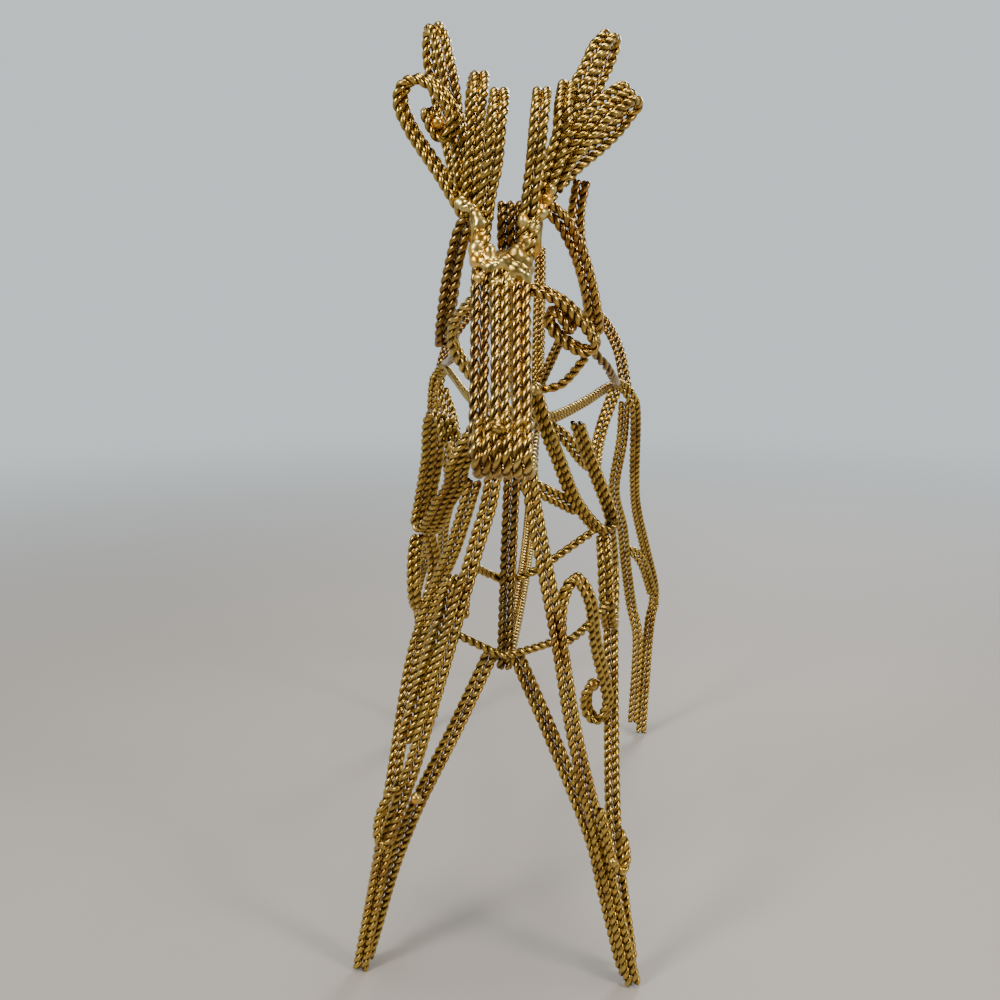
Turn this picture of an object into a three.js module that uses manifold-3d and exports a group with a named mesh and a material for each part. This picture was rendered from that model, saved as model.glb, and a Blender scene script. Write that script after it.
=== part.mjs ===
// A standing reindeer bent from twisted brass rope. Each rope is two wires twisted together, and
// nearly every line of the figure is a flat band of two such ropes laid side by side, bent like a
// ribbon and brazed to its neighbours. Millimetres, +Z up, the nose points along -Y.

import * as THREE from 'three';
import { mergeVertices } from 'three/addons/utils/BufferGeometryUtils.js';
import Module from 'manifold-3d';

const wasm = await Module();
wasm.setup();

// Driving dimensions
const ROPE = 3.2;
const BRAZE_GAP = 0.3;
const FRONT_FOOT_LEFT = [-56, -110];
const FRONT_FOOT_RIGHT = [45.5, -113];
const HIND_FOOT = [60, 109];
const FOOT_OVERRUN = 4;
const CENTRE_SHIFT_Y = 16.5;

// Half thickness of a band at the notch between two ropes, as a share of the rope radius
const NOTCH_DEPTH = 0.55;

// Length of one facet along a straight band, a bent band and a tight curl, and the weld distance
const LONG_STEP = 30;
const BEND_STEP = 12.2;
const CURL_STEP = 7.5;
const WELD = 1e-4;

// Direction in which the ropes of a band lie side by side where its place gives no other
const SIDEWAYS = [1, 0, 0];

const OLD_GOLD = 0xa87f32;
const PALE_GOLD = 0xc39a48;
const BROWN_GOLD = 0x7c5a26;

const figure = new THREE.Group();
figure.position.y = CENTRE_SHIFT_Y;
const placed = [];

// A smooth path that keeps the ropes of a band side by side along one direction
class BandPath extends THREE.CatmullRomCurve3 {
  constructor(points, across) {
    super(points.map((point) => new THREE.Vector3(...point)), false, 'catmullrom', 0.5);
    this.across = new THREE.Vector3(...across);
  }

  computeFrenetFrames(segments) {
    const frames = { tangents: [], normals: [], binormals: [] };
    for (let i = 0; i <= segments; i++) {
      const tangent = this.getTangentAt(i / segments);
      const normal = this.across.clone().addScaledVector(tangent, -this.across.dot(tangent)).normalize();
      frames.tangents.push(tangent);
      frames.normals.push(normal);
      frames.binormals.push(tangent.clone().cross(normal));
    }
    return frames;
  }
}

// Section of a row of ropes: a ridge over each rope and a notch between neighbours
function ropeRow(ropes) {
  const radius = ROPE / 2;
  const notch = radius * NOTCH_DEPTH;
  const end = ropes * radius;
  const upper = [];
  for (let i = ropes - 1; i >= 0; i--) {
    const middle = (2 * i - ropes + 1) * radius;
    upper.push([middle, radius]);
    if (i > 0) upper.push([middle - radius, notch]);
  }
  const lower = upper.map(([x, y]) => [-x, -y]);
  const outline = [[end, 0], ...upper, [-end, 0], ...lower];
  return new THREE.Shape(outline.map(([x, y]) => new THREE.Vector2(x, y)));
}

// A closed mesh as a solid that can be cut
function solidOf(geometry) {
  geometry.deleteAttribute('normal');
  geometry.deleteAttribute('uv');
  const merged = mergeVertices(geometry, WELD);
  const vertProperties = new Float32Array(merged.attributes.position.array);
  const triVerts = new Uint32Array(merged.index.array);
  return new wasm.Manifold(new wasm.Mesh({ numProp: 3, vertProperties, triVerts }));
}

// Section of the room that a row of ropes needs, with the braze gap around it
function roomAround(ropes) {
  const radius = ROPE / 2;
  const height = radius + BRAZE_GAP;
  const end = ropes * radius + BRAZE_GAP;
  const shoulder = end - radius;
  const outline = [[end, 0], [shoulder, height], [-shoulder, height], [-end, 0], [-shoulder, -height],
    [shoulder, -height]];
  return new THREE.Shape(outline.map(([x, y]) => new THREE.Vector2(x, y)));
}

function sweep(shape, path, steps) {
  return solidOf(new THREE.ExtrudeGeometry(shape, { steps, extrudePath: path, bevelEnabled: false }));
}

function largestPiece(solid) {
  const pieces = solid.decompose();
  return pieces.reduce((best, piece) => (piece.volume() > best.volume() ? piece : best));
}

const GROUND_SIZE = 600;
const ground = solidOf(new THREE.BoxGeometry(GROUND_SIZE, GROUND_SIZE, GROUND_SIZE)
  .translate(0, 0, -GROUND_SIZE / 2));

// A solid takes its place: it is coped to whatever is already there and cut flat at the ground
function place(name, solid, clearance, tone) {
  const box = new THREE.Box3().setFromArray(clearance.getMesh().vertProperties);
  let fitted = solid.subtract(ground);
  for (const other of placed) {
    if (box.intersectsBox(other.box)) fitted = fitted.subtract(other.clearance);
  }
  placed.push({ box, clearance });

  const { vertProperties, triVerts } = largestPiece(fitted).getMesh();
  const geometry = new THREE.BufferGeometry();
  geometry.setAttribute('position', new THREE.BufferAttribute(vertProperties, 3));
  geometry.setIndex(new THREE.BufferAttribute(triVerts, 1));
  geometry.computeVertexNormals();
  const brass = new THREE.MeshStandardMaterial({ color: tone, roughness: 0.38, metalness: 1 });
  const mesh = new THREE.Mesh(geometry, brass);
  mesh.name = name;
  figure.add(mesh);
}

// One band of ropes bent along its points
function band(name, points, { ropes = 2, across = SIDEWAYS, step = BEND_STEP, tone = OLD_GOLD } = {}) {
  const path = new BandPath(points, across);
  const steps = Math.max(2, Math.round(path.getLength() / step));
  place(name, sweep(ropeRow(ropes), path, steps), sweep(roomAround(ropes), path, steps), tone);
}

const mirrored = (points) => points.map(([x, y, z]) => [-x, y, z]);

// The same band on both sides of the figure
function bandPair(name, points, { across = SIDEWAYS, ...options } = {}) {
  band(`right_${name}`, points, { ...options, across });
  band(`left_${name}`, mirrored(points), { ...options, across: mirrored([across])[0] });
}

// A lump of braze: rounded drops of metal run together
function braze(name, drops) {
  const dropSolid = ([x, y, z], [rx, ry, rz], grow) => solidOf(new THREE.IcosahedronGeometry(1, 1)
    .scale(rx + grow, ry + grow, rz + grow).translate(x, y, z));
  const runTogether = (grow) => drops
    .map(({ at, radii }) => dropSolid(at, radii, grow))
    .reduce((lump, drop) => lump.add(drop));
  place(name, runTogether(0), runTogether(BRAZE_GAP), PALE_GOLD);
}

// Crown: the braze that holds the face, the neck, the ears and both antlers together
braze('crown_braze', [
  { at: [-1.5, -118, 252], radii: [9.5, 9.5, 6] },
  { at: [7.5, -119.5, 265], radii: [4.5, 5, 11.5] },
  { at: [-10, -119.5, 264.5], radii: [4.5, 5, 11] },
]);

// Front legs: each runs from the foot over the knee and chest up the throat to the crown
band('right_front_leg', [
  [...FRONT_FOOT_RIGHT, -FOOT_OVERRUN], [32.5, -111, 52], [22.5, -110, 93], [16.5, -109, 128],
  [11, -108, 156], [6.7, -108, 180], [3.6, -111, 212], [3, -115, 252],
], { step: LONG_STEP });
band('left_front_leg', [
  [...FRONT_FOOT_LEFT, -FOOT_OVERRUN], [-45, -110, 49], [-33.5, -110, 84], [-22, -109, 124],
  [-12, -108, 160], [-6.7, -108, 180], [-3.6, -111, 212], [-4, -115, 252],
], { step: LONG_STEP });

// Rear edge of each front leg, from the elbow down to the pastern, and a single rope hook on each knee
band('right_front_leg_rear', [
  [35.5, -70, 120], [36, -80, 88], [37, -99, 54], [40.5, -104.6, 26], [43.5, -106, 6],
], { step: LONG_STEP });
band('left_front_leg_rear', [
  [-13, -101.5, 182], [-21, -92, 157], [-30.5, -82, 134], [-38.5, -80, 108], [-43.5, -96.5, 70],
  [-48, -101, 42], [-53, -103.3, 12],
], { step: LONG_STEP });
band('right_knee_hook', [
  [31.5, -114.3, 69.5], [33.8, -114.4, 60.5], [35.8, -114.6, 52], [37.6, -114, 47],
  [39.8, -113, 45.3], [41.2, -112, 49], [40.5, -111, 55], [38.5, -110, 59.5],
], { ropes: 1, step: CURL_STEP });
band('left_knee_hook', [
  [-39, -113.4, 75.5], [-43.5, -113.4, 70], [-46.5, -113.4, 62.5], [-47, -113.4, 55],
  [-44.5, -113.4, 52], [-42, -113.4, 56.5], [-39, -113.4, 64.5],
], { ropes: 1, step: CURL_STEP });

// Hind legs: one band starts at the spine, bends down over the hip and runs over the hock to the foot,
// with a thigh band inside it and a short arch bracing the two at the hock
const [HIND_FOOT_X, HIND_FOOT_Y] = HIND_FOOT;
band('right_hind_leg', [
  [0, -34, 196.5], [11, -18, 193], [25.5, 20, 195.5], [35.5, 45, 199], [42.5, 58, 199], [48, 62, 193],
  [50.5, 66, 184], [51.5, 80, 152], [53.5, 92, 132.5], [59.5, 106, 108], [65, 116, 86.5],
  [66, 119, 74], [63.5, 117, 58], [HIND_FOOT_X, HIND_FOOT_Y, -FOOT_OVERRUN],
], { across: [0.5, 0, 0.86] });
band('left_hind_leg', [
  [0, -38, 198], [-12, -27, 198.5], [-23, -8, 200], [-33.5, 30, 204.5], [-40, 52, 207],
  [-44.5, 60, 204], [-48, 65, 194], [-51, 80, 152], [-53.5, 92, 132.5], [-59.5, 106, 108],
  [-65, 116, 86.5], [-66, 119, 74], [-63.5, 117, 58], [-HIND_FOOT_X, HIND_FOOT_Y, -FOOT_OVERRUN],
], { across: [0.5, 0, -0.86] });
bandPair('thigh_band', [
  [45, 67, 190.5], [44.5, 73, 171], [41.5, 82, 144], [46.5, 92, 122], [49, 100, 102], [53, 110, 76],
  [57, 112, 58], [57, 111, 37.5], [55.5, 107, 8.5],
], { step: LONG_STEP });
bandPair('hock_arch', [
  [49.5, 99, 108], [54, 102, 106], [58, 105, 100.5], [61.5, 109.5, 91], [64.5, 115, 80.5],
], { across: [0.71, 0, 0.71] });

// Face: a proud bridge band between two cheek bands, and a row of six ropes wrapped over the muzzle
band('bridge_band', [
  [-2.2, -128.5, 253], [-1.3, -143, 229], [-0.3, -160.5, 199],
], { step: LONG_STEP, tone: PALE_GOLD });
band('right_cheek_band', [
  [4, -127.2, 252.5], [4.9, -141.7, 228.5], [6.1, -159, 199],
], { step: LONG_STEP });
band('left_cheek_band', [
  [-8.4, -127.2, 252.5], [-7.5, -141.7, 228.5], [-6.7, -159, 199],
], { step: LONG_STEP });
band('muzzle_wrap', [
  [0.7, -158, 210], [0.7, -164.5, 205.5], [0.7, -166.5, 200], [0.7, -162, 195.5], [0.7, -147, 194],
  [0.7, -110, 199],
], { ropes: 6, step: CURL_STEP, tone: PALE_GOLD });

// Poll: a short band of three ropes bent over between the antlers
band('poll_arch', [
  [0, -113.5, 259], [0, -113.2, 266], [0, -111, 270.5], [-0.3, -107.5, 272], [-0.5, -104, 270],
  [-0.5, -103.5, 253],
], { ropes: 3, step: CURL_STEP, tone: BROWN_GOLD });

// Spine from the crown over the withers to the rump, and the leaf shaped tail standing on it
band('spine_band', [
  [0, -106, 251], [0, -86, 226], [0, -58, 204], [0, -10, 192], [0, 50, 188], [1, 109, 191],
], { step: LONG_STEP });
band('tail_loop', [
  [1.5, 102.5, 190], [1.5, 112, 224], [2, 119, 252], [2, 126, 264], [2, 133, 256], [2, 131, 232],
  [2, 119, 200], [2, 108, 190],
]);

// Keel of the chest, the belly line that rises behind to the tail, and a brace from the keel down each leg
band('keel_band', [
  [0, -100, 188], [-1.5, -98, 153], [-3, -95.2, 112.5],
], { step: LONG_STEP, tone: BROWN_GOLD });
band('belly_band', [
  [-2.8, -94, 114], [-1, -40, 119], [0, 20, 126], [0, 74, 140], [0, 95, 160], [1, 102, 188],
], { step: LONG_STEP });
band('right_knee_brace', [
  [1, -97.5, 119.5], [14.5, -103, 90], [28.5, -107.3, 56], [34, -108, 34], [40, -109.2, 10],
  [42.8, -109.7, 2.5],
], { step: LONG_STEP });
band('left_knee_brace', [
  [-7.5, -97.5, 119.5], [-20.5, -102, 91.5], [-34, -106, 64], [-43, -106.5, 40], [-50.5, -106.6, 14],
  [-53.6, -106.6, 3],
], { step: LONG_STEP });

// Shoulder: a leaf from the neck down to the elbow and back up, a hanging loop below it and a scroll inside
band('right_shoulder_loop', [
  [7.2, -106.5, 214], [12, -101, 198], [15, -95, 189.5], [21, -86, 173], [28.5, -78, 161.5],
  [33, -74, 159], [35, -72, 161.5], [33.5, -73, 167.5], [29, -78, 179.5], [24.5, -84, 191.5],
  [21.5, -89, 200.5],
], { across: [0.76, -0.58, 0.29] });
band('left_shoulder_loop', [
  [-8, -107, 205], [-18, -101, 188], [-20.5, -94, 179], [-25.5, -88, 170.5], [-29.7, -81, 162],
  [-33.5, -76, 158.5], [-35.3, -73, 161], [-33.5, -75, 169.5], [-29.8, -82, 186.5],
  [-28.5, -87.5, 197], [-27, -91, 202], [-24.5, -94, 203], [-22.5, -96.5, 199.5], [-21.5, -97.5, 195],
], { ropes: 3, across: [0.76, 0.58, -0.29] });
band('right_elbow_loop', [
  [32, -74, 157], [32.5, -82, 149], [33.5, -82.5, 132], [35, -74.5, 122.5], [36, -62, 123],
  [36, -54.5, 138], [34, -63, 158],
]);
band('left_elbow_loop', [
  [-36, -77.5, 157], [-36.8, -82, 149], [-37, -82.5, 138], [-36.8, -78.5, 130.5], [-35.5, -69, 126],
  [-33.5, -62, 131.5], [-32, -62, 144], [-33.5, -71, 158],
], { across: [0.85, -0.5, 0] });
band('right_chest_scroll', [
  [17.5, -104.7, 118], [17, -104.7, 138], [21.5, -102, 148], [27, -98, 139.5], [29.5, -92, 121],
  [33, -86, 105.5], [34.5, -83.5, 96], [31.5, -82.5, 89], [27.2, -83, 92], [26.5, -85, 99.5],
  [28.8, -86.5, 104.5],
], { across: [0.55, 0.83, 0], step: CURL_STEP });
band('left_chest_scroll', [
  [-17.5, -105, 134.5], [-17.5, -105, 142.5], [-20, -103, 147.5], [-22.5, -101, 142],
  [-23.5, -101.5, 135], [-26.5, -102.5, 125], [-30.5, -103.5, 112.5], [-34.5, -104.5, 99.5],
  [-38, -105.5, 88],
]);

// Single rope ties across the chest, and a short band from the keel to the right shoulder
band('chest_tie', [
  [-14, -107, 154], [-8, -94.6, 147], [-1, -94.4, 145.5], [9, -92, 149], [28, -80.5, 160],
], { ropes: 1 });
band('keel_tie', [
  [-20, -108, 130], [-8, -102.2, 122], [-3, -101.6, 120], [5, -102, 122], [16, -108, 128],
], { ropes: 1 });
band('elbow_tie', [[17.5, -107.5, 126], [24.5, -100, 129], [34, -83.5, 134]], { ropes: 1 });
band('breast_tie', [
  [2, -97, 180.5], [6.5, -94, 178.5], [11, -91, 176], [16, -86, 172.5], [21.5, -81, 168.5],
], { across: [0, 0, 1] });

// Flanks: the topline rope from the cheek to the hip, and a drop hung between it and the spine
band('right_topline', [
  [26, -114.5, 227.5], [28, -110, 224.5], [31, -102, 221], [33.2, -90, 217], [35.5, -60, 212.5],
  [38, 0, 206], [41, 54, 200],
], { ropes: 1, step: LONG_STEP });
band('left_topline', [
  [-18, -114, 228.5], [-21, -90, 224], [-29, -30, 217], [-41, 55, 209.5],
], { ropes: 1, step: LONG_STEP });
bandPair('flank_drop', [
  [2, -14, 191.5], [15, -13, 186], [25, -9, 173.5], [29.5, 0, 169.5], [31, 12, 176], [34, 22, 186.5],
  [39, 27, 200],
]);

// Rump: an arch from each hip up and over to the tail
bandPair('rump_arch', [
  [46, 64, 195], [42, 75, 215], [34, 85, 229], [26, 91, 232.5], [16, 97, 223], [3, 103, 195],
], { across: [0.82, 0.3, 0.5], tone: BROWN_GOLD });

// Antlers: four tall loops on each side, the inner pair upright, the outer ones leaning away
band('right_antler_front_tine', [
  [6, -121.5, 264], [6.8, -123.5, 275], [8, -125.5, 283.5], [9, -125, 294.5], [9.5, -122, 301],
  [9.5, -115, 305], [9, -107, 304.5], [8, -104, 297], [7, -106, 282.5], [6, -113, 266],
]);
band('left_antler_front_tine', [
  [-8.5, -121.5, 264], [-6.5, -123.5, 275], [-4.5, -125.5, 283.5], [-3.5, -125, 295], [-3, -122, 301],
  [-3.5, -115, 305], [-4.5, -107, 304.5], [-6, -104, 297], [-7.5, -106, 282.5], [-8.5, -113, 266],
]);
band('right_antler_second_tine', [
  [9.5, -118, 269], [11, -117.5, 276], [13.5, -116.5, 284], [15.5, -115, 292.5], [16, -113, 300.5],
  [17, -103, 309], [17.5, -96, 307], [16.5, -94, 299.5], [15.5, -98, 290], [11, -110, 272],
]);
band('left_antler_second_tine', [
  [-12, -118, 267], [-11.8, -117.5, 278.5], [-11, -116.5, 288], [-10.5, -114, 300],
  [-10, -110.5, 307.5], [-10.5, -103, 312], [-12.5, -95.5, 310.5], [-13.5, -93, 303],
  [-13.5, -97, 289.5], [-12, -110, 270],
]);
band('right_antler_third_tine', [
  [10.5, -114, 276], [14, -111.5, 288.5], [17.5, -107.5, 299], [21, -104.5, 309], [23.5, -103, 313.5],
  [26, -101, 319.5], [28.5, -99, 322.5], [30, -96, 324.5], [31, -92.5, 324.5], [31, -91, 322.5],
  [29.5, -91, 317.5], [27, -92.5, 312], [23.5, -95, 304], [18, -101, 291], [13.5, -108, 278],
], { across: [0.94, 0, -0.33], step: CURL_STEP });
band('left_antler_third_tine', [
  [-14, -114, 273.5], [-16, -111, 288.5], [-18.5, -106.5, 303], [-20, -104.5, 312],
  [-21.5, -103, 318], [-23, -101, 323.5], [-25, -98, 327], [-26, -94.5, 328], [-27, -91.5, 327],
  [-27.5, -90, 322], [-27, -90, 316.5], [-24.5, -92.5, 306.5], [-20, -99, 290], [-16, -106, 275.5],
], { across: [0.976, 0, 0.216], step: CURL_STEP });
band('right_antler_rear_tine', [
  [12, -112, 277], [16, -112.5, 285.5], [22.5, -112, 293.5], [28, -110, 300], [33.5, -107, 304.5],
  [36, -104, 306], [37.5, -100, 306], [37, -97.5, 304], [35, -97, 301.5], [31.5, -98, 297],
  [26, -100.5, 291.5], [20.5, -103, 287], [14, -106, 280.5],
], { ropes: 3, across: [0.7, 0, -0.72], step: CURL_STEP });
band('left_antler_rear_tine', [
  [-13.5, -117.5, 268], [-21.5, -117, 281], [-29.5, -115.5, 292.5], [-33.5, -115, 300.5],
  [-33.5, -115, 305.5], [-31, -115, 308.5], [-27.5, -115, 309], [-23.5, -115, 307],
  [-19.5, -115, 302.5], [-17.5, -115, 298], [-18.5, -115, 293], [-21.2, -115, 292],
  [-24, -115, 295.5], [-26, -115, 300.5],
], { across: [0.6, 0.75, 0.25], step: CURL_STEP });

// Ears: long leaf loops that hang beside the head
band('right_ear', [
  [9.5, -118, 272], [15.5, -117, 267.5], [19.5, -115.5, 261], [22.5, -113.5, 254],
  [25, -110.5, 245.5], [26.5, -107, 237.5], [27, -102.5, 232.5], [26.5, -98, 235], [25.5, -96, 243],
  [23.5, -96, 251.5], [21, -97, 260.5], [20.5, -99, 270.5], [22, -101, 280],
]);
band('left_ear', [
  [-12.5, -118.5, 267.5], [-15, -117.5, 263.5], [-17, -116, 257], [-19, -114, 249.5],
  [-20.5, -111.5, 242], [-22, -108, 234], [-22.5, -105, 230], [-23, -101.5, 228], [-23, -98, 231.5],
  [-21.5, -96, 242], [-20, -96, 252], [-17.5, -98, 261.5], [-13, -105, 266.5],
]);

// Eye scroll on the right cheek with its stay rope, and the wavy band that answers it on the left
band('right_eye_scroll', [
  [6.5, -127.5, 246.5], [12.5, -125, 244.5], [17.5, -123, 241.5], [22, -121, 237], [26, -119.5, 232],
  [27, -119, 229], [24.5, -119, 227], [20, -120, 228.5], [15, -122, 232.5], [12.5, -122.5, 236.5],
  [13.3, -122.5, 239.2], [15.5, -122, 239], [17.5, -121.5, 236.5], [20, -121, 233],
], { across: [0.2, 0.9, 0.4], step: CURL_STEP });
band('right_cheek_stay', [[24, -118, 225], [16.5, -112, 216], [8, -108.5, 213.5]], { ropes: 1 });
band('left_eye_scroll', [
  [-10.5, -127.5, 243.5], [-16.5, -121.5, 237], [-18, -117, 229], [-14, -112.5, 220.5],
  [-8, -109.5, 214],
], { across: [0.2, 0.9, 0.4], tone: PALE_GOLD });

export default figure;
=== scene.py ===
import math

import bmesh
import bpy
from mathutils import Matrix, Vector, noise


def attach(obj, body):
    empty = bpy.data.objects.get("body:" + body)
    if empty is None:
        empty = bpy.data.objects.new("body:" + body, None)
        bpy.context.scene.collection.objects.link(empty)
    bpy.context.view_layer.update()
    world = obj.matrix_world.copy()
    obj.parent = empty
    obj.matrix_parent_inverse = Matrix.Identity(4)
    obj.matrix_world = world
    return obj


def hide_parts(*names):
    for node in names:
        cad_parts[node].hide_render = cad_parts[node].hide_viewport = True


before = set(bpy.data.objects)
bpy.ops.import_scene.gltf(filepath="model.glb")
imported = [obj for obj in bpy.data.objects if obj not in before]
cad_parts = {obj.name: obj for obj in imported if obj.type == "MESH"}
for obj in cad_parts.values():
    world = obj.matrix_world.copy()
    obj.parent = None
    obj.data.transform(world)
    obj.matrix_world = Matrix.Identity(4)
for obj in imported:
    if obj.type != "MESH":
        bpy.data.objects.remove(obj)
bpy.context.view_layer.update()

# Front legs: a flat band of two ropes each, from the cut foot over the knee and chest up the throat.
# A rope is two drawn brass wires twisted with a right-handed lay, and the band is bent like a ribbon.
# Every path is in millimetres, with the nose towards -Y and the ground at Z 0.
MM = 0.001
WIRE_RADIUS = 0.95 * MM
TWIST_RADIUS = 0.65 * MM
ROPE_SPACING = 2.9 * MM
LAY_LENGTH = 6.2 * MM
FIGURE_SHIFT = Vector((0, 16.5, 0)) * MM
FOOT_CLEARANCE = 0.4 * MM
PATH_SAMPLES = 12
WIRE_SIDES = 8
STEPS_PER_LAY = 10
CUT_END = 0.55
SIDEWAYS = (1, 0, 0)


def smooth_path(points):
    knots = [Vector(point) * MM + FIGURE_SHIFT for point in points]
    knots = [2 * knots[0] - knots[1], *knots, 2 * knots[-1] - knots[-2]]
    path = []
    for a, b, c, d in zip(knots, knots[1:], knots[2:], knots[3:]):
        for i in range(PATH_SAMPLES):
            t = i / PATH_SAMPLES
            bend = (2 * a - 5 * b + 4 * c - d) * t ** 2 + (3 * b - a - 3 * c + d) * t ** 3
            path.append(0.5 * (2 * b + (c - a) * t + bend))
    path.append(knots[-2])
    return [point for point in path if point.z > FOOT_CLEARANCE]


def rope_lines(name, points, ropes, across):
    """Bare centre lines, one for each rope of the band, neighbours a quarter turn apart so that they nest."""
    path = smooth_path(points)
    ahead = path[1:] + [2 * path[-1] - path[-2]]
    behind = [2 * path[0] - path[1]] + path[:-1]
    tangents = [(a - b).normalized() for a, b in zip(ahead, behind)]
    widths = [(Vector(across) - Vector(across).dot(t) * t).normalized() for t in tangents]
    vertices = []
    edges = []
    for rope in range(ropes):
        offset = (rope - (ropes - 1) / 2) * ROPE_SPACING
        first = len(vertices)
        vertices += [point + width * offset for point, width in zip(path, widths)]
        edges += [(i, i + 1) for i in range(first, len(vertices) - 1)]
    mesh = bpy.data.meshes.new(name)
    mesh.from_pydata(vertices, edges, [])
    across_data = mesh.attributes.new("across", "FLOAT_VECTOR", "POINT").data
    across_data.foreach_set("vector", [value for _ in range(ropes) for width in widths for value in width])
    phase_data = mesh.attributes.new("phase", "FLOAT", "POINT").data
    phase_data.foreach_set("value", [rope * math.tau / 4 for rope in range(ropes) for _ in path])
    return mesh


def node(tree, kind, inputs=None, **settings):
    made = tree.nodes.new(kind)
    for key, value in settings.items():
        setattr(made, key, value)
    for socket, source in (inputs or {}).items():
        if isinstance(source, bpy.types.NodeSocket):
            tree.links.new(source, made.inputs[socket])
        else:
            made.inputs[socket].default_value = source
    return made


def twisted_rope_tree():
    """Geometry nodes that lay two wires as a right-handed helix around each line."""
    tree = bpy.data.node_groups.new("twisted_rope", "GeometryNodeTree")
    for name, kind in (("Lines", "Geometry"), ("Wire radius", "Float"), ("Twist radius", "Float"),
                       ("Lay length", "Float"), ("Step", "Float"), ("Brass", "Material")):
        tree.interface.new_socket(name, in_out="INPUT", socket_type=f"NodeSocket{kind}")
    tree.interface.new_socket("Rope", in_out="OUTPUT", socket_type="NodeSocketGeometry")
    given = node(tree, "NodeGroupInput").outputs

    def math_node(operation, first, second=0.0):
        return node(tree, "ShaderNodeMath", {0: first, 1: second}, operation=operation).outputs[0]

    def vector_node(operation, first, second=None, scale=None):
        inputs = {0: first}
        if second is not None:
            inputs[1] = second
        if scale is not None:
            inputs["Scale"] = scale
        return node(tree, "ShaderNodeVectorMath", inputs, operation=operation)

    lines = node(tree, "GeometryNodeMeshToCurve", {"Mesh": given["Lines"]}).outputs[0]
    lines = node(tree, "GeometryNodeResampleCurve", {"Curve": lines, "Length": given["Step"]}, mode="LENGTH")
    centre = node(tree, "GeometryNodeInputPosition").outputs[0]
    cored = node(tree, "GeometryNodeStoreNamedAttribute",
                 {"Geometry": lines.outputs[0], "Name": "core", "Value": centre},
                 data_type="FLOAT_VECTOR", domain="POINT").outputs[0]

    along = node(tree, "GeometryNodeSplineParameter").outputs["Length"]
    phase = node(tree, "GeometryNodeInputNamedAttribute", {"Name": "phase"}, data_type="FLOAT").outputs[0]
    turn = math_node("MULTIPLY", math_node("DIVIDE", along, given["Lay length"]), math.tau)
    turn = math_node("ADD", turn, phase)
    tangent = node(tree, "GeometryNodeInputTangent").outputs[0]
    width = node(tree, "GeometryNodeInputNamedAttribute", {"Name": "across"}, data_type="FLOAT_VECTOR")
    width = vector_node("NORMALIZE", width.outputs[0]).outputs[0]
    depth = vector_node("CROSS_PRODUCT", tangent, width).outputs[0]
    section = node(tree, "GeometryNodeCurvePrimitiveCircle",
                   {"Resolution": WIRE_SIDES, "Radius": given["Wire radius"]})

    rest = math_node("SUBTRACT", node(tree, "GeometryNodeSplineLength").outputs["Length"], along)
    to_end = math_node("DIVIDE", math_node("MINIMUM", along, rest), given["Wire radius"])
    end_taper = math_node("MINIMUM", math_node("ADD", to_end, CUT_END), 1.0)

    joined = node(tree, "GeometryNodeJoinGeometry")
    for start in (0.0, math.pi):
        angle = math_node("ADD", turn, start)
        sideways = vector_node("SCALE", width, scale=math_node("COSINE", angle)).outputs[0]
        outwards = vector_node("SCALE", depth, scale=math_node("SINE", angle)).outputs[0]
        swing = vector_node("ADD", sideways, outwards).outputs[0]
        offset = vector_node("SCALE", swing, scale=given["Twist radius"]).outputs[0]
        helix = node(tree, "GeometryNodeSetPosition", {"Geometry": cored, "Offset": offset}).outputs[0]
        wire = node(tree, "GeometryNodeCurveToMesh", {"Curve": helix, "Profile Curve": section.outputs[0],
                                                      "Scale": end_taper, "Fill Caps": True}).outputs[0]
        tree.links.new(wire, joined.inputs[0])

    core = node(tree, "GeometryNodeInputNamedAttribute", {"Name": "core"}, data_type="FLOAT_VECTOR")
    reach = vector_node("DISTANCE", centre, core.outputs[0]).outputs["Value"]
    rope_radius = math_node("ADD", given["Wire radius"], given["Twist radius"])
    ridge = math_node("DIVIDE", reach, rope_radius)
    rope = node(tree, "GeometryNodeStoreNamedAttribute",
                {"Geometry": joined.outputs[0], "Name": "ridge", "Value": ridge},
                data_type="FLOAT", domain="POINT").outputs[0]
    for spent in ("core", "across", "phase"):
        rope = node(tree, "GeometryNodeRemoveAttribute", {"Geometry": rope, "Name": spent}).outputs[0]
    rope = node(tree, "GeometryNodeSetShadeSmooth", {"Geometry": rope}).outputs[0]
    rope = node(tree, "GeometryNodeRealizeInstances", {"Geometry": rope}).outputs[0]
    rope = node(tree, "GeometryNodeSetMaterial", {"Geometry": rope, "Material": given["Brass"]}).outputs[0]
    node(tree, "NodeGroupOutput", {"Rope": rope})
    return tree


def ramp(tree, value, stops):
    made = node(tree, "ShaderNodeValToRGB", {"Fac": value})
    elements = made.color_ramp.elements
    while len(elements) < len(stops):
        elements.new(0.5)
    for element, (position, colour) in zip(elements, stops):
        element.position = position
        element.color = (*colour, 1)
    return made.outputs["Color"]


def mix(tree, share, first, second, blend="MIX"):
    made = node(tree, "ShaderNodeMix", data_type="RGBA", blend_type=blend)
    for socket, source in zip((made.inputs[0], made.inputs[6], made.inputs[7]), (share, first, second)):
        if isinstance(source, bpy.types.NodeSocket):
            tree.links.new(source, socket)
        elif socket.type == "RGBA":
            socket.default_value = (*source, 1)
        else:
            socket.default_value = source
    return made.outputs[2]


def speckle(tree, place, scale, detail=3.0):
    made = node(tree, "ShaderNodeTexNoise", {"Vector": place, "Scale": scale, "Detail": detail})
    return made.outputs["Fac"]


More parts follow.
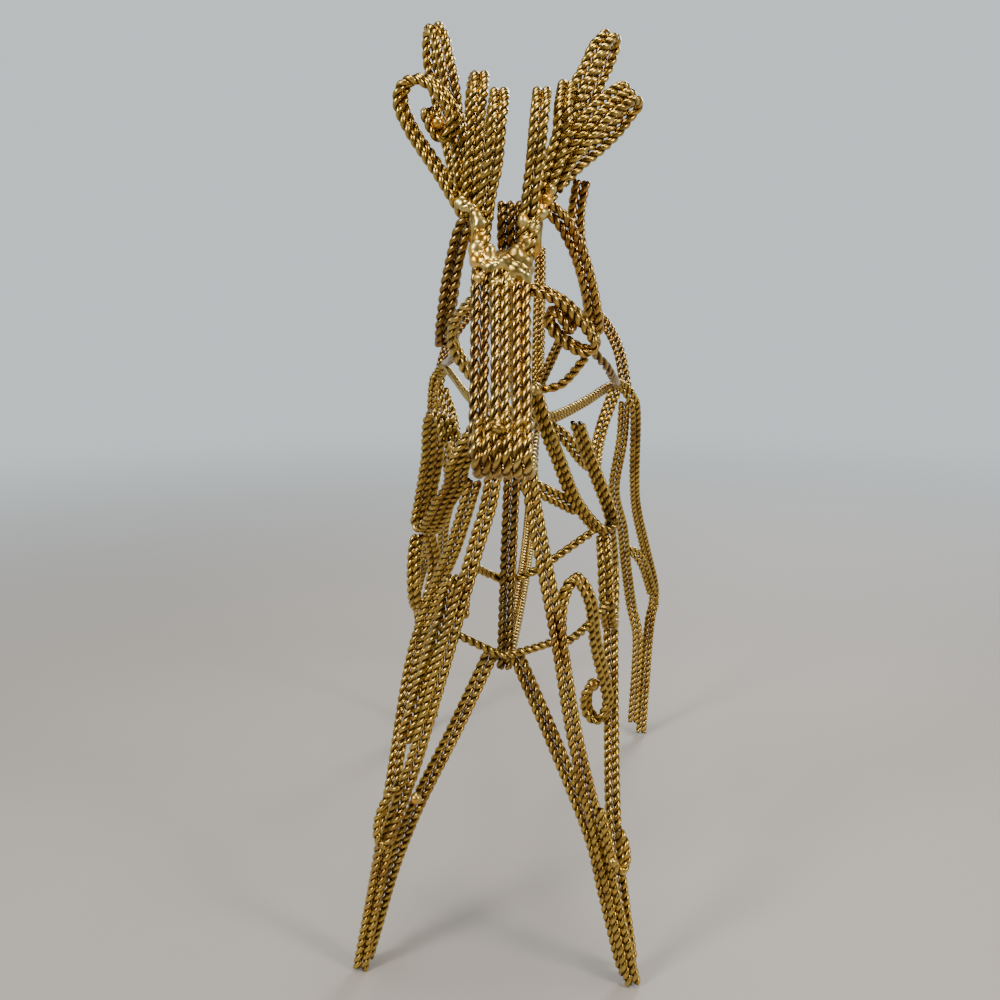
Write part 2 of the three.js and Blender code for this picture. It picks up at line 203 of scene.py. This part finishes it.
def brass_with_tarnish_and_painted_light(name, groove, body, crest):
    """Brass with painted shade in the twist and a painted highlight on the wire crests, with brown and olive
    tarnish.
    """
    material = bpy.data.materials.new(name)
    material.use_nodes = True
    tree = material.node_tree
    surface = tree.nodes["Principled BSDF"]
    place = node(tree, "ShaderNodeTexCoord").outputs["Object"]
    ridge = node(tree, "ShaderNodeAttribute", attribute_name="ridge").outputs["Fac"]

    # Painted shade in the twist and a painted highlight on the crests, set by each point's distance from its
    # rope's core.
    tone = ramp(tree, ridge, [(0.5, groove), (0.76, body), (0.97, crest)])
    brown_patch = ramp(tree, speckle(tree, place, 48), [(0.5, (0, 0, 0)), (0.68, (0.62, 0.62, 0.62))])
    tone = mix(tree, brown_patch, tone, (0.21, 0.085, 0.022))
    olive_patch = ramp(tree, speckle(tree, place, 31, 5), [(0.56, (0, 0, 0)), (0.72, (0.5, 0.5, 0.5))])
    tone = mix(tree, olive_patch, tone, (0.2, 0.17, 0.055))
    grain = ramp(tree, speckle(tree, place, 850), [(0.3, (0.72, 0.72, 0.72)), (0.7, (1, 1, 1))])
    tone = mix(tree, 1.0, tone, grain, "MULTIPLY")
    tree.links.new(tone, surface.inputs["Base Color"])

    gloss = ramp(tree, speckle(tree, place, 420), [(0.3, (0.22, 0.22, 0.22)), (0.75, (0.38, 0.38, 0.38))])
    tree.links.new(gloss, surface.inputs["Roughness"])
    scratches = node(tree, "ShaderNodeBump", {"Strength": 0.12, "Distance": 0.2 * MM,
                                              "Height": speckle(tree, place, 1600)}).outputs[0]
    tree.links.new(scratches, surface.inputs["Normal"])
    surface.inputs["Metallic"].default_value = 1.0
    return material


ROPE_TREE = twisted_rope_tree()
OLD_GOLD = brass_with_tarnish_and_painted_light("old_gold_rope", (0.035, 0.014, 0.002), (0.2, 0.112, 0.018), (0.68, 0.46, 0.11))


def band(name, points, ropes=2, across=SIDEWAYS, brass=OLD_GOLD, lay=LAY_LENGTH, solid=None):
    """One band of twisted ropes, which takes the place of the solid band of the same name."""
    piece = bpy.data.objects.new(f"rope_{name}", rope_lines(name, points, ropes, across))
    bpy.context.collection.objects.link(piece)
    twist = piece.modifiers.new("twist", "NODES")
    twist.node_group = ROPE_TREE
    values = {"Wire radius": WIRE_RADIUS, "Twist radius": TWIST_RADIUS, "Lay length": lay,
              "Step": lay / STEPS_PER_LAY, "Brass": brass}
    for socket in ROPE_TREE.interface.items_tree:
        if socket.name in values:
            twist[socket.identifier] = values[socket.name]
    evaluated = piece.evaluated_get(bpy.context.evaluated_depsgraph_get())
    twisted = bpy.data.meshes.new_from_object(evaluated)
    piece.modifiers.remove(twist)
    piece.data = twisted
    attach(piece, "root")
    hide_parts(solid or name)


def mirrored(points):
    return [(-x, y, z) for x, y, z in points]


def band_pair(name, points, across=SIDEWAYS, brass=OLD_GOLD):
    band(f"right_{name}", points, across=across, brass=brass)
    band(f"left_{name}", mirrored(points), across=mirrored([across])[0], brass=brass)


band("right_front_leg", [
    (45.5, -113, -4), (32.5, -111, 52), (22.5, -110, 93), (16.5, -109, 128), (11, -108, 156),
    (6.7, -108, 180), (3.6, -111, 212), (3, -115, 252)])
band("left_front_leg", [
    (-56, -110, -4), (-45, -110, 49), (-33.5, -110, 84), (-22, -109, 124), (-12, -108, 160),
    (-6.7, -108, 180), (-3.6, -111, 212), (-4, -115, 252)])
band("right_front_leg_rear", [
    (35.5, -70, 120), (36, -80, 88), (37, -99, 54), (40.5, -104.6, 26), (43.5, -106, 6)])
band("left_front_leg_rear", [
    (-13, -101.5, 182), (-21, -92, 157), (-30.5, -82, 134), (-38.5, -80, 108), (-43.5, -96.5, 70),
    (-48, -101, 42), (-53, -103.3, 12)])
band("right_knee_hook", [
    (31.5, -114.3, 69.5), (33.8, -114.4, 60.5), (35.8, -114.6, 52), (37.6, -114, 47),
    (39.8, -113, 45.3), (41.2, -112, 49), (40.5, -111, 55), (38.5, -110, 59.5)], ropes=1)
band("left_knee_hook", [
    (-39, -113.4, 75.5), (-43.5, -113.4, 70), (-46.5, -113.4, 62.5), (-47, -113.4, 55),
    (-44.5, -113.4, 52), (-42, -113.4, 56.5), (-39, -113.4, 64.5)], ropes=1)

# Hind legs: one band starts at the spine, bends down over the hip and runs over the hock to the cut foot,
# bent on edge so that one rope is the outer one of the bend. A thigh band of the same rope lies inside it,
# and a short arch braces the two at the hock.
band("right_hind_leg", [
    (0, -34, 196.5), (11, -18, 193), (25.5, 20, 195.5), (35.5, 45, 199),
    (42.5, 58, 199), (48, 62, 193), (50.5, 66, 184), (51.5, 80, 152),
    (53.5, 92, 132.5), (59.5, 106, 108), (65, 116, 86.5), (66, 119, 74),
    (63.5, 117, 58), (60, 109, -4)], across=(0.5, 0, 0.86))
band("left_hind_leg", [
    (0, -38, 198), (-12, -27, 198.5), (-23, -8, 200), (-33.5, 30, 204.5),
    (-40, 52, 207), (-44.5, 60, 204), (-48, 65, 194), (-51, 80, 152),
    (-53.5, 92, 132.5), (-59.5, 106, 108), (-65, 116, 86.5), (-66, 119, 74),
    (-63.5, 117, 58), (-60, 109, -4)], across=(0.5, 0, -0.86))
band_pair("thigh_band", [
    (45, 67, 190.5), (44.5, 73, 171), (41.5, 82, 144), (46.5, 92, 122), (49, 100, 102), (53, 110, 76),
    (57, 112, 58), (57, 111, 37.5), (55.5, 107, 8.5)])
band_pair("hock_arch", [
    (49.5, 99, 108), (54, 102, 106), (58, 105, 100.5), (61.5, 109.5, 91),
    (64.5, 115, 80.5)], across=(0.71, 0, 0.71))

# Face: a proud bridge band between two cheek bands, and six ropes side by side bent over the muzzle
# and back to the throat, all of a rope with a longer lay. The bridge and muzzle have painted light, brighter
# than the rest of the figure, while the right cheek has a painted warm side light in amber and the left one
# painted shade in brown.
FACE_LAY = 8.2 * MM
# Copies of the brass with light painted in: a brighter one for painted light, an amber one for a painted warm
# side light and a darker brown one for painted shade.
PAINTED_LIGHT_GOLD = brass_with_tarnish_and_painted_light("painted_light_gold_rope", (0.04, 0.017, 0.002), (0.22, 0.128, 0.021), (0.74, 0.51, 0.14))
PAINTED_WARM_LIGHT_GOLD = brass_with_tarnish_and_painted_light("painted_warm_light_gold_rope", (0.04, 0.014, 0.002), (0.21, 0.105, 0.017), (0.7, 0.44, 0.11))
PAINTED_SHADE_GOLD = brass_with_tarnish_and_painted_light("painted_shade_gold_rope", (0.03, 0.012, 0.002), (0.13, 0.068, 0.015), (0.44, 0.28, 0.08))
band("bridge_band", [
    (-2.2, -128.5, 253), (-1.3, -143, 229), (-0.3, -160.5, 199)], brass=PAINTED_LIGHT_GOLD, lay=FACE_LAY)
band("right_cheek_band", [
    (4, -127.2, 252.5), (4.9, -141.7, 228.5), (6.1, -159, 199)], brass=PAINTED_WARM_LIGHT_GOLD, lay=FACE_LAY)
band("left_cheek_band", [
    (-8.4, -127.2, 252.5), (-7.5, -141.7, 228.5), (-6.7, -159, 199)], brass=PAINTED_SHADE_GOLD, lay=FACE_LAY)
band("muzzle_wrap", [
    (0.7, -158, 210), (0.7, -164.5, 205.5), (0.7, -166.5, 200),
    (0.7, -162, 195.5), (0.7, -147, 194), (0.7, -110, 199)], ropes=6, brass=PAINTED_LIGHT_GOLD, lay=FACE_LAY)

# Poll arch: a short band of three ropes bent over behind the forehead, between the antlers. It lies in
# shade, which is painted in with the darker brown brass.
band("poll_arch", [
    (0, -113.5, 259), (0, -113.2, 266), (0, -111, 270.5), (-0.3, -107.5, 272),
    (-0.5, -104, 270), (-0.5, -103.5, 253)], ropes=3, brass=PAINTED_SHADE_GOLD)

# Back line: a band from the crown over the withers to the rump, and the leaf shaped tail loop that
# stands on its end. The tail is one band bent back on itself.
band("spine_band", [
    (0, -106, 251), (0, -86, 226), (0, -58, 204), (0, -10, 192), (0, 50, 188), (1, 109, 191)])
band("tail_loop", [
    (1.5, 102.5, 190), (1.5, 112, 224), (2, 119, 252), (2, 126, 264), (2, 133, 256), (2, 131, 232),
    (2, 119, 200), (2, 108, 190)])

# Keel and belly: the keel drops from the throat between the front legs, the belly line runs back from
# its foot and rises to the tail, and a brace leaves the keel down the inside of each front leg.
# The keel lies in shade between the front legs, which is painted in with the darker brown brass.
band("keel_band", [(0, -100, 188), (-1.5, -98, 153), (-3, -95.2, 112.5)], brass=PAINTED_SHADE_GOLD)
band("belly_band", [
    (-2.8, -94, 114), (-1, -40, 119), (0, 20, 126), (0, 74, 140), (0, 95, 160), (1, 102, 188)])
band("right_knee_brace", [
    (1, -97.5, 119.5), (14.5, -103, 90), (28.5, -107.3, 56), (34, -108, 34), (40, -109.2, 10),
    (42.8, -109.7, 2.5)])
band("left_knee_brace", [
    (-7.5, -97.5, 119.5), (-20.5, -102, 91.5), (-34, -106, 64), (-43, -106.5, 40), (-50.5, -106.6, 14),
    (-53.6, -106.6, 3)])

# Shoulders: a leaf of one band from the neck down to the elbow and back up to a free end, on the left three
# ropes wide and bent over at the top, a loop that hangs below it, and a scroll between it and the front leg.
band("right_shoulder_loop", [
    (7.2, -106.5, 214), (12, -101, 198), (15, -95, 189.5), (21, -86, 173),
    (28.5, -78, 161.5), (33, -74, 159), (35, -72, 161.5), (33.5, -73, 167.5),
    (29, -78, 179.5), (24.5, -84, 191.5), (21.5, -89, 200.5)], across=(0.76, -0.58, 0.29))
band("left_shoulder_loop", [
    (-8, -107, 205), (-18, -101, 188), (-20.5, -94, 179),
    (-25.5, -88, 170.5), (-29.7, -81, 162), (-33.5, -76, 158.5),
    (-35.3, -73, 161), (-33.5, -75, 169.5), (-29.8, -82, 186.5),
    (-28.5, -87.5, 197), (-27, -91, 202), (-24.5, -94, 203),
    (-22.5, -96.5, 199.5), (-21.5, -97.5, 195)], ropes=3, across=(0.76, 0.58, -0.29))
band("right_elbow_loop", [
    (32, -74, 157), (32.5, -82, 149), (33.5, -82.5, 132), (35, -74.5, 122.5), (36, -62, 123),
    (36, -54.5, 138), (34, -63, 158)])
band("left_elbow_loop", [
    (-36, -77.5, 157), (-36.8, -82, 149), (-37, -82.5, 138),
    (-36.8, -78.5, 130.5), (-35.5, -69, 126), (-33.5, -62, 131.5),
    (-32, -62, 144), (-33.5, -71, 158)], across=(0.85, -0.5, 0))
band("right_chest_scroll", [
    (17.5, -104.7, 118), (17, -104.7, 138), (21.5, -102, 148), (27, -98, 139.5),
    (29.5, -92, 121), (33, -86, 105.5), (34.5, -83.5, 96), (31.5, -82.5, 89),
    (27.2, -83, 92), (26.5, -85, 99.5), (28.8, -86.5, 104.5)], across=(0.55, 0.83, 0))
band("left_chest_scroll", [
    (-17.5, -105, 134.5), (-17.5, -105, 142.5), (-20, -103, 147.5), (-22.5, -101, 142),
    (-23.5, -101.5, 135), (-26.5, -102.5, 125), (-30.5, -103.5, 112.5), (-34.5, -104.5, 99.5),
    (-38, -105.5, 88)])

# Chest ties: single ropes that cross from leg to leg behind the keel and out to the right elbow, and a
# short band from the keel to the right shoulder, their ends brazed to what they meet.
band("chest_tie", [
    (-14, -107, 154), (-8, -94.6, 147), (-1, -94.4, 145.5), (9, -92, 149), (28, -80.5, 160)], ropes=1)
band("keel_tie", [
    (-20, -108, 130), (-8, -102.2, 122), (-3, -101.6, 120), (5, -102, 122), (16, -108, 128)], ropes=1)
band("elbow_tie", [(17.5, -107.5, 126), (24.5, -100, 129), (34, -83.5, 134)], ropes=1)
band("breast_tie", [
    (2, -97, 180.5), (6.5, -94, 178.5), (11, -91, 176), (16, -86, 172.5),
    (21.5, -81, 168.5)], across=(0, 0, 1))

# Flanks: a single topline rope from the cheek to the hip on each side, brown with painted shade and laid more
# loosely than the rest, and a drop hung between the spine and the topline.
TOPLINE_LAY = 11 * MM
band("right_topline", [
    (26, -114.5, 227.5), (28, -110, 224.5), (31, -102, 221),
    (33.2, -90, 217), (35.5, -60, 212.5), (38, 0, 206),
    (41, 54, 200)], ropes=1, brass=PAINTED_SHADE_GOLD, lay=TOPLINE_LAY)
band("left_topline", [
    (-18, -114, 228.5), (-21, -90, 224), (-29, -30, 217),
    (-41, 55, 209.5)], ropes=1, brass=PAINTED_SHADE_GOLD, lay=TOPLINE_LAY)
band_pair("flank_drop", [
    (2, -14, 191.5), (15, -13, 186), (25, -9, 173.5), (29.5, 0, 169.5), (31, 12, 176), (34, 22, 186.5),
    (39, 27, 200)])

# Rump: an arch on each side, one band of two ropes, brown with painted shade, bent from the hip up and over,
# its ends brazed to the hip and to the foot of the tail.
band_pair("rump_arch", [
    (46, 64, 195), (42, 75, 215), (34, 85, 229),
    (26, 91, 232.5), (16, 97, 223), (3, 103, 195)], across=(0.82, 0.3, 0.5), brass=PAINTED_SHADE_GOLD)

# Antlers: four tall loops a side, each one band bent back on itself and brazed into the crown. The
# inner pairs stand upright, the outer ones lean away and are bent by eye, so the sides differ. The rear
# one on the right is three ropes wide.
band("right_antler_front_tine", [
    (6, -121.5, 264), (6.8, -123.5, 275), (8, -125.5, 283.5), (9, -125, 294.5), (9.5, -122, 301),
    (9.5, -115, 305), (9, -107, 304.5), (8, -104, 297), (7, -106, 282.5), (6, -113, 266)])
band("left_antler_front_tine", [
    (-8.5, -121.5, 264), (-6.5, -123.5, 275), (-4.5, -125.5, 283.5), (-3.5, -125, 295), (-3, -122, 301),
    (-3.5, -115, 305), (-4.5, -107, 304.5), (-6, -104, 297), (-7.5, -106, 282.5), (-8.5, -113, 266)])
band("right_antler_second_tine", [
    (9.5, -118, 269), (11, -117.5, 276), (13.5, -116.5, 284), (15.5, -115, 292.5), (16, -113, 300.5),
    (17, -103, 309), (17.5, -96, 307), (16.5, -94, 299.5), (15.5, -98, 290), (11, -110, 272)])
band("left_antler_second_tine", [
    (-12, -118, 267), (-11.8, -117.5, 278.5), (-11, -116.5, 288), (-10.5, -114, 300),
    (-10, -110.5, 307.5), (-10.5, -103, 312), (-12.5, -95.5, 310.5), (-13.5, -93, 303),
    (-13.5, -97, 289.5), (-12, -110, 270)])
band("right_antler_third_tine", [
    (10.5, -114, 276), (14, -111.5, 288.5), (17.5, -107.5, 299),
    (21, -104.5, 309), (23.5, -103, 313.5), (26, -101, 319.5),
    (28.5, -99, 322.5), (30, -96, 324.5), (31, -92.5, 324.5), (31, -91, 322.5),
    (29.5, -91, 317.5), (27, -92.5, 312), (23.5, -95, 304), (18, -101, 291),
    (13.5, -108, 278)], across=(0.94, 0, -0.33))
band("left_antler_third_tine", [
    (-14, -114, 273.5), (-16, -111, 288.5), (-18.5, -106.5, 303),
    (-20, -104.5, 312), (-21.5, -103, 318), (-23, -101, 323.5), (-25, -98, 327),
    (-26, -94.5, 328), (-27, -91.5, 327), (-27.5, -90, 322), (-27, -90, 316.5),
    (-24.5, -92.5, 306.5), (-20, -99, 290), (-16, -106, 275.5)], across=(0.976, 0, 0.216))
band("right_antler_rear_tine", [
    (12, -112, 277), (16, -112.5, 285.5), (22.5, -112, 293.5),
    (28, -110, 300), (33.5, -107, 304.5), (36, -104, 306),
    (37.5, -100, 306), (37, -97.5, 304), (35, -97, 301.5),
    (31.5, -98, 297), (26, -100.5, 291.5), (20.5, -103, 287),
    (14, -106, 280.5)], ropes=3, across=(0.7, 0, -0.72))
band("left_antler_rear_tine", [
    (-13.5, -117.5, 268), (-21.5, -117, 281), (-29.5, -115.5, 292.5),
    (-33.5, -115, 300.5), (-33.5, -115, 305.5), (-31, -115, 308.5),
    (-27.5, -115, 309), (-23.5, -115, 307), (-19.5, -115, 302.5),
    (-17.5, -115, 298), (-18.5, -115, 293), (-21.2, -115, 292),
    (-24, -115, 295.5), (-26, -115, 300.5)], across=(0.6, 0.75, 0.25))

# Ears: long leaf loops, each one band bent back on itself and hung from the crown, where the braze holds
# it. The right one has a painted warm side light in amber and the left one painted shade in brown.
band("right_ear", [
    (9.5, -118, 272), (15.5, -117, 267.5), (19.5, -115.5, 261), (22.5, -113.5, 254),
    (25, -110.5, 245.5), (26.5, -107, 237.5), (27, -102.5, 232.5), (26.5, -98, 235),
    (25.5, -96, 243), (23.5, -96, 251.5), (21, -97, 260.5), (20.5, -99, 270.5),
    (22, -101, 280)], brass=PAINTED_WARM_LIGHT_GOLD)
band("left_ear", [
    (-12.5, -118.5, 267.5), (-15, -117.5, 263.5), (-17, -116, 257), (-19, -114, 249.5),
    (-20.5, -111.5, 242), (-22, -108, 234), (-22.5, -105, 230), (-23, -101.5, 228),
    (-23, -98, 231.5), (-21.5, -96, 242), (-20, -96, 252), (-17.5, -98, 261.5),
    (-13, -105, 266.5)], brass=PAINTED_SHADE_GOLD)

# Eyes: a leaf scroll curled on the right cheek with a single stay rope under it, and on the left a
# wavy band bent in the same place.
# The right scroll and its stay have a painted warm side light in amber, and the left scroll has painted
# light.
band("right_eye_scroll", [
    (6.5, -127.5, 246.5), (12.5, -125, 244.5),
    (17.5, -123, 241.5), (22, -121, 237), (26, -119.5, 232),
    (27, -119, 229), (24.5, -119, 227), (20, -120, 228.5),
    (15, -122, 232.5), (12.5, -122.5, 236.5),
    (13.3, -122.5, 239.2), (15.5, -122, 239),
    (17.5, -121.5, 236.5), (20, -121, 233)], across=(0.2, 0.9, 0.4), brass=PAINTED_WARM_LIGHT_GOLD)
band("right_cheek_stay", [
    (24, -118, 225), (16.5, -112, 216), (8, -108.5, 213.5)], ropes=1, brass=PAINTED_WARM_LIGHT_GOLD)
band("left_eye_scroll", [
    (-10.5, -127.5, 243.5), (-16.5, -121.5, 237),
    (-18, -117, 229), (-14, -112.5, 220.5), (-8, -109.5, 214)], across=(0.2, 0.9, 0.4), brass=PAINTED_LIGHT_GOLD)

# Crown: braze run over the ends of face, neck, ears and antlers until it set in a lump, with the rope ends
# of both antler stems still showing. It is brighter and smoother than the rope, with orange patches painted
# in as glints, and a few more drops of it hold the scrolls, the muzzle and the knees.
VOXEL = 0.38 * MM
MELT_PASSES = 10
RIPPLES = ((0.6 * MM, 260), (0.09 * MM, 780))


def run_braze():
    material = bpy.data.materials.new("run_braze")
    material.use_nodes = True
    tree = material.node_tree
    surface = tree.nodes["Principled BSDF"]
    place = node(tree, "ShaderNodeTexCoord").outputs["Object"]
    tone = ramp(tree, speckle(tree, place, 190), [
        (0.3, (0.3, 0.17, 0.035)), (0.5, (0.62, 0.47, 0.15)), (0.7, (0.82, 0.69, 0.3))])
    # Orange patches painted in as glints.
    painted_glint = ramp(tree, speckle(tree, place, 120, 4), [(0.52, (0, 0, 0)), (0.62, (0.85, 0.85, 0.85))])
    tree.links.new(mix(tree, painted_glint, tone, (0.8, 0.4, 0.04)), surface.inputs["Base Color"])
    gloss = ramp(tree, speckle(tree, place, 260), [(0.3, (0.24, 0.24, 0.24)), (0.75, (0.42, 0.42, 0.42))])
    tree.links.new(gloss, surface.inputs["Roughness"])
    surface.inputs["Metallic"].default_value = 1.0
    return material


RUN_BRAZE = run_braze()


def braze(name, drops):
    """Rounded drops of braze run together into one rippled skin."""
    shape = bmesh.new()
    for x, y, z, rx, ry, rz in drops:
        centre = Vector((x, y, z)) * MM + FIGURE_SHIFT
        made = bmesh.ops.create_icosphere(shape, subdivisions=3, radius=1)
        for vertex in made["verts"]:
            vertex.co = centre + Vector((vertex.co.x * rx, vertex.co.y * ry, vertex.co.z * rz)) * MM
    mesh = bpy.data.meshes.new(name)
    shape.to_mesh(mesh)
    shape.free()
    piece = bpy.data.objects.new(f"run_{name}", mesh)
    bpy.context.collection.objects.link(piece)
    melt = piece.modifiers.new("melt", "REMESH")
    melt.mode = "VOXEL"
    melt.voxel_size = VOXEL
    melted = bpy.data.meshes.new_from_object(piece.evaluated_get(bpy.context.evaluated_depsgraph_get()))
    piece.modifiers.remove(melt)
    shape = bmesh.new()
    shape.from_mesh(melted)
    for _ in range(MELT_PASSES):
        bmesh.ops.smooth_vert(shape, verts=shape.verts, factor=0.5,
                              use_axis_x=True, use_axis_y=True, use_axis_z=True)
    shape.normal_update()
    moves = [vertex.normal * sum(height * noise.noise(vertex.co * scale) for height, scale in RIPPLES)
             for vertex in shape.verts]
    for vertex, move in zip(shape.verts, moves):
        vertex.co += move
    for face in shape.faces:
        face.smooth = True
    shape.to_mesh(melted)
    shape.free()
    piece.data = melted
    melted.materials.clear()
    melted.materials.append(RUN_BRAZE)
    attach(piece, "root")
    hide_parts(name)


braze("crown_braze", [
    (-1.5, -118, 252, 9, 9, 6), (-9.5, -119.5, 263, 3.4, 3.6, 9), (7, -119.5, 264, 3.4, 3.6, 9.5),
    (-15, -120, 272, 2.4, 2, 2.2), (-12.5, -121.5, 270.5, 2.6, 2.2, 1.8), (-10, -123.2, 268, 2.4, 2, 2.4),
    (-8.5, -124, 265, 2.6, 2, 3), (-8.5, -125, 261.5, 2.4, 2, 2.6), (-9.8, -126, 258, 2.4, 2.2, 2.8),
    (-9.4, -127.5, 254.5, 2.6, 2.6, 2.8), (-5.5, -127, 256, 2.2, 2.4, 3.6), (-5, -129.5, 252.5, 3, 2.4, 2.4),
    (-8.6, -130, 249.5, 2.2, 2, 2.2), (-3.5, -131, 248.2, 2.2, 1.8, 1.8), (-10, -131, 246, 1.6, 1.6, 1.8),
    (-1, -129, 254, 2.6, 2.6, 2.6), (2.5, -127.5, 256.5, 3, 2.6, 3.2), (5, -127.5, 254, 2.6, 2.6, 3.4),
    (2.5, -130, 251.5, 3, 2.2, 2.6), (5.6, -129.5, 249.5, 1.8, 1.8, 2.8), (0.5, -131.2, 248, 1.8, 1.6, 1.6),
    (5, -125.5, 260, 2.4, 2.2, 2.6), (4.4, -124.6, 266.5, 2, 1.8, 2.8), (7.6, -124, 264.5, 2.2, 2, 2.4),
    (9.5, -121.5, 269, 2.6, 2.2, 2.4), (11, -120, 272.5, 2.4, 2.2, 2), (12.6, -119, 276, 2, 2, 1.8),
    (8, -111.5, 214.5, 2.2, 2.2, 2.2), (-0.5, -165.5, 208.5, 1.8, 1.2, 1.6), (-22, -117, 296, 2, 2, 2),
    (-33, -113, 70.5, 2.2, 1.8, 2.2), (36, -115.5, 50, 1.8, 1.6, 2), (28.8, -86.5, 104, 2.6, 2.4, 2.8)])
band("left_antler_stem", [
    (-8, -127.5, 251), (-8.3, -126, 257), (-8.2, -124.5, 263), (-7.8, -123.8, 267)], solid="crown_braze")
band("right_antler_stem", [
    (3.5, -127.5, 251), (5, -126, 257), (6.3, -124.5, 263), (7, -123.8, 267)], solid="crown_braze")

# Studio: a pale room that is dim in front of the figure and dark overhead, so that the brass has something
# to mirror, and a pale paper floor that runs out into the room.
HORIZON = (0.72, 0.79, 0.82)
OVERHEAD = (0.07, 0.07, 0.075)
FLOOR_REACH = 6.0


def room_tone(tree, towards):
    axes = node(tree, "ShaderNodeSeparateXYZ", {0: towards}).outputs
    height = ramp(tree, axes["Z"], [(0.0, HORIZON), (0.3, HORIZON), (0.62, OVERHEAD)])
    depth = node(tree, "ShaderNodeMapRange", {"Value": axes["Y"], "From Min": -0.8, "From Max": 0.6,
                                              "To Min": 0.2, "To Max": 1.0}).outputs[0]
    return mix(tree, 1.0, height, depth, "MULTIPLY")


world = bpy.data.worlds.new("pale_room")
bpy.context.scene.world = world
world.use_nodes = True
room = world.node_tree
room_place = node(room, "ShaderNodeTexCoord").outputs["Generated"]
room.links.new(room_tone(room, room_place), room.nodes["Background"].inputs["Color"])

floor_mesh = bpy.data.meshes.new("pale_floor")
corners = [(-FLOOR_REACH, -FLOOR_REACH, 0), (FLOOR_REACH, -FLOOR_REACH, 0), (FLOOR_REACH, FLOOR_REACH, 0),
           (-FLOOR_REACH, FLOOR_REACH, 0)]
floor_mesh.from_pydata(corners, [], [(0, 1, 2, 3)])
floor = bpy.data.objects.new("pale_floor", floor_mesh)
bpy.context.collection.objects.link(floor)
paper = bpy.data.materials.new("pale_paper")
paper.use_nodes = True
sheet = paper.node_tree
sheet.nodes["Principled BSDF"].inputs["Base Color"].default_value = (0.37, 0.352, 0.338, 1)
sheet.nodes["Principled BSDF"].inputs["Roughness"].default_value = 0.7
sheet_place = node(sheet, "ShaderNodeTexCoord").outputs["Object"]
away = node(sheet, "ShaderNodeVectorMath", {0: sheet_place}, operation="LENGTH").outputs["Value"]
towards = node(sheet, "ShaderNodeVectorMath", {0: sheet_place}, operation="NORMALIZE").outputs[0]
fade = node(sheet, "ShaderNodeMapRange", {"Value": away, "From Min": 0.25, "From Max": 1.4},
            interpolation_type="SMOOTHSTEP").outputs[0]
glow = node(sheet, "ShaderNodeEmission", {"Color": room_tone(sheet, towards)}).outputs[0]
blend = node(sheet, "ShaderNodeMixShader", {0: fade, 1: sheet.nodes["Principled BSDF"].outputs[0], 2: glow})
sheet.links.new(blend.outputs[0], sheet.nodes["Material Output"].inputs["Surface"])
floor_mesh.materials.append(paper)

# Lamps: a large soft disc on each side in front, one above and one behind, all warm or white and turned
# to the chest of the figure.
CHEST = Vector((0, -0.05, 0.17))


def soft_light(name, place, size, power, colour=(1, 1, 1)):
    lamp = bpy.data.lights.new(name, "AREA")
    lamp.shape = "DISK"
    lamp.size = size
    lamp.energy = power
    lamp.color = colour
    light = bpy.data.objects.new(name, lamp)
    light.location = place
    light.rotation_euler = (CHEST - Vector(place)).to_track_quat("-Z", "Y").to_euler()
    bpy.context.collection.objects.link(light)


soft_light("left_window", (-0.75, -0.85, 0.75), 0.35, 12, (1, 0.94, 0.83))
soft_light("right_window", (0.85, -0.6, 0.7), 0.3, 8, (1, 0.88, 0.7))
soft_light("top_light", (0.05, -0.1, 1.2), 0.5, 10, (1, 0.96, 0.88))
soft_light("rear_light", (0.35, 0.95, 0.7), 0.4, 7)

# Camera: in front of the nose at the height of the crown, a little to the right, tilted down along the
# face.
camera_data = bpy.data.cameras.new("camera")
camera_data.sensor_width = 36
camera_data.lens = 39.6
camera = bpy.data.objects.new("camera", camera_data)
camera.location = (0.02015, -0.4512, 0.25)
camera.rotation_euler = (math.radians(78.5), 0, math.radians(3.8))
bpy.context.collection.objects.link(camera)
bpy.context.scene.camera = camera
